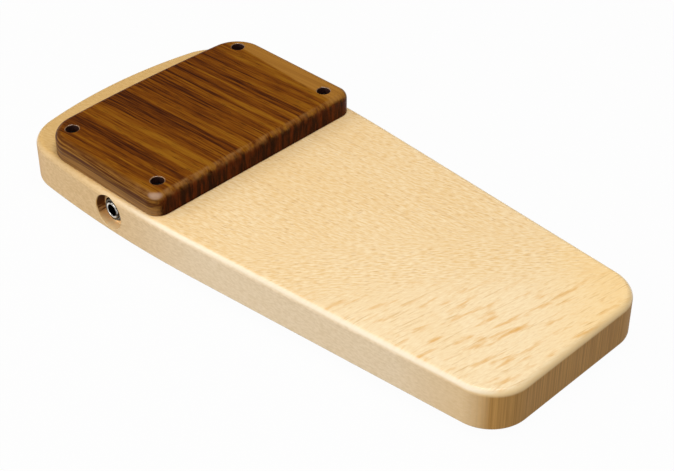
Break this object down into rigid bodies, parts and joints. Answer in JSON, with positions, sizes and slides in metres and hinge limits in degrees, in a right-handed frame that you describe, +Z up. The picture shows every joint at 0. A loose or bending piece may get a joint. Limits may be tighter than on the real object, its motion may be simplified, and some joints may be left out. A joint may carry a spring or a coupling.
{
  "type": "foot stomp box",
  "caption": "Tapered wooden foot stomp box with a screwed strike plate over a piezo pickup and a recessed quarter-inch jack in its long side.",
  "frame": {"origin": "on the standing surface, under the middle of the board's length and width", "axes": "+Y to the plate end, +X to the player's right, +Z up"},
  "size_m": [0.1464, 0.323, 0.0395],
  "materials": {
    "beech": "satin lacquer",
    "walnut": "satin lacquer",
    "black_steel": "black oxide",
    "zinc_steel": "bright zinc",
    "rubber": "moulded matt",
    "nickel": "nickel plate",
    "fibre": "pressed fibre",
    "brass": "rolled",
    "silvered_ceramic": "silvered",
    "adhesive_foam": "matt",
    "backing_foam": "open cell",
    "red_wire": "extruded",
    "black_wire": "extruded",
    "solder": "cast bright"
  },
  "bodies": {
    "box": {"body": "beech", "strike_plate": "walnut", "plate_screws": "black_steel", "feet": "rubber", "foot_washers": "zinc_steel", "foot_screws": "zinc_steel", "jack_bushing": "nickel", "jack_nut": "nickel", "jack_washer": "nickel", "jack_frame": "nickel", "jack_insulators": "fibre", "jack_rivets": "brass", "tip_lug": "brass", "ground_lug": "brass", "piezo_tape": "adhesive_foam", "piezo_disc": "brass", "piezo_ceramic": "silvered_ceramic", "foam_pad": "backing_foam", "hot_lead": "red_wire", "ground_lead": "black_wire", "solder_joints": "solder"},
    "tip_spring": {"tip_contact": "brass"}
  },
  "joints": [
    {"name": "tip_contact_flex", "type": "hinge", "parent": "box", "child": "tip_spring", "pos_m": [-0.05515, 0.08695, 0.0155], "axis": [0, 0, 1], "range_deg": [0, 8], "stiffness_Nm_per_rad": 0.35}
  ]
}
